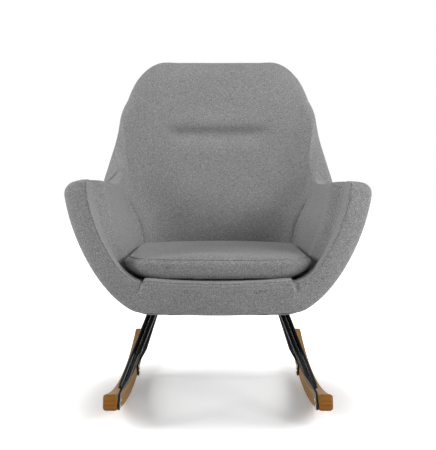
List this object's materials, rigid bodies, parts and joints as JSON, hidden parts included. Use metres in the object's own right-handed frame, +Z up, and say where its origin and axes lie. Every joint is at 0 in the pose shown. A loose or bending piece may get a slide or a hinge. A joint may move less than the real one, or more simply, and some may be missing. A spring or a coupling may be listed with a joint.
{
  "type": "rocking chair",
  "caption": "Upholstered shell rocking chair with winged arms, a loose seat cushion, black rod legs and curved wooden rockers.",
  "frame": {"origin": "middle of the chair's footprint on the floor", "axes": "+Z up, the sitter faces -Y, X runs across the chair"},
  "size_m": [0.7422, 0.7254, 0.9792],
  "materials": {
    "upholstery": "mid grey melange woven upholstery",
    "lining": "black non-woven lining",
    "foam": "foam wrapped in cloth",
    "plywood": "raw plywood",
    "lacquered_wood": "clear lacquered light brown wood",
    "black_steel": "gloss black powder coat",
    "zinc_plated_steel": "zinc plated"
  },
  "bodies": {
    "chair": {"outer_shell_cover": "upholstery", "shell_frame_back": "plywood", "back_pad": "upholstery", "shell_frame_side_left": "plywood", "back_pad_side_left": "upholstery", "arm_pad_left": "upholstery", "shell_frame_side_right": "plywood", "back_pad_side_right": "upholstery", "arm_pad_right": "upholstery", "front_band": "upholstery", "side_rail_left": "plywood", "side_rail_right": "plywood", "front_rail": "plywood", "rear_rail": "plywood", "zigzag_spring_1": "zinc_plated_steel", "zigzag_spring_2": "zinc_plated_steel", "zigzag_spring_3": "zinc_plated_steel", "zigzag_spring_4": "zinc_plated_steel", "deck_pad": "foam", "dust_cover": "lining", "mounting_plate_left": "black_steel", "plate_bolt_left_1": "zinc_plated_steel", "plate_bolt_left_2": "zinc_plated_steel", "plate_bolt_left_3": "zinc_plated_steel", "plate_bolt_left_4": "zinc_plated_steel", "front_rod_outer_left": "black_steel", "front_rod_inner_left": "black_steel", "front_tab_left": "black_steel", "front_screw_left_1": "zinc_plated_steel", "front_screw_left_2": "zinc_plated_steel", "rear_rod_outer_left": "black_steel", "rear_rod_inner_left": "black_steel", "rear_tab_left": "black_steel", "rear_screw_left_1": "zinc_plated_steel", "rear_screw_left_2": "zinc_plated_steel", "rocker_left": "lacquered_wood", "mounting_plate_right": "black_steel", "plate_bolt_right_1": "zinc_plated_steel", "plate_bolt_right_2": "zinc_plated_steel", "plate_bolt_right_3": "zinc_plated_steel", "plate_bolt_right_4": "zinc_plated_steel", "front_rod_outer_right": "black_steel", "front_rod_inner_right": "black_steel", "front_tab_right": "black_steel", "front_screw_right_1": "zinc_plated_steel", "front_screw_right_2": "zinc_plated_steel", "rear_rod_outer_right": "black_steel", "rear_rod_inner_right": "black_steel", "rear_tab_right": "black_steel", "rear_screw_right_1": "zinc_plated_steel", "rear_screw_right_2": "zinc_plated_steel", "rocker_right": "lacquered_wood"},
    "cushion": {"seat_cushion": "upholstery"}
  },
  "joints": [
    {"name": "cushion_lift", "type": "slide", "parent": "chair", "child": "cushion", "axis": [0, 0, 1], "range_m": [0, 0.25]}
  ]
}
